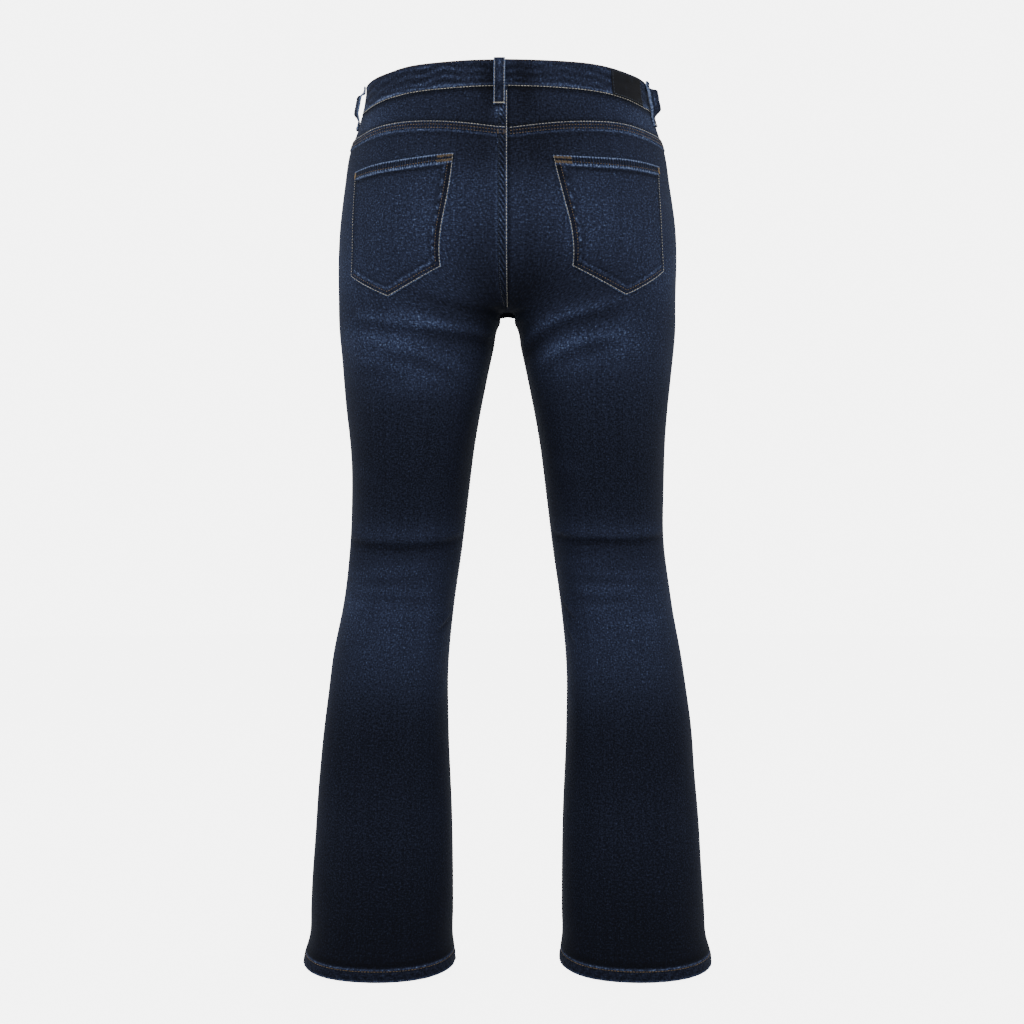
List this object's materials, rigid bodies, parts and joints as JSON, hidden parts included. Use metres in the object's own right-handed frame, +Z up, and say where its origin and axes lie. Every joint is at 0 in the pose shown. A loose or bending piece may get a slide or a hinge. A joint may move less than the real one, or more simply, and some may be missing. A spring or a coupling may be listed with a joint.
{
  "type": "bootcut jeans",
  "caption": "Dark indigo bootcut jeans filled out as if worn, hollow from waist to hems, with yokes, patch pockets, belt loops and a bare waistband patch.",
  "frame": {"origin": "middle of the waist opening, half way up the waistband at the sides", "axes": "+Z up towards the waist, -Y to the front of the garment, +X to the wearer's left"},
  "size_m": [0.4752, 0.251, 1.047],
  "materials": {
    "denim": "dark indigo cotton denim twill, washed lighter on the thighs and knees",
    "patch_leather": "dark smooth leather, bare",
    "button_metal": "aged brass",
    "zip_tape": "dark woven cotton tape"
  },
  "bodies": {
    "root": {"waistband": "denim", "yoke_left": "denim", "yoke_right": "denim", "back_left": "denim", "back_right": "denim", "front_left": "denim", "front_right": "denim", "pocket_facing_left": "denim", "pocket_facing_right": "denim", "back_pocket_left": "denim", "back_pocket_right": "denim", "belt_loop_back": "denim", "belt_loop_side_left": "denim", "belt_loop_side_right": "denim", "belt_loop_front_left": "denim", "belt_loop_front_right": "denim", "patch": "patch_leather", "button": "button_metal", "zip": "zip_tape", "zip_slider": "button_metal"}
  },
  "joints": []
}
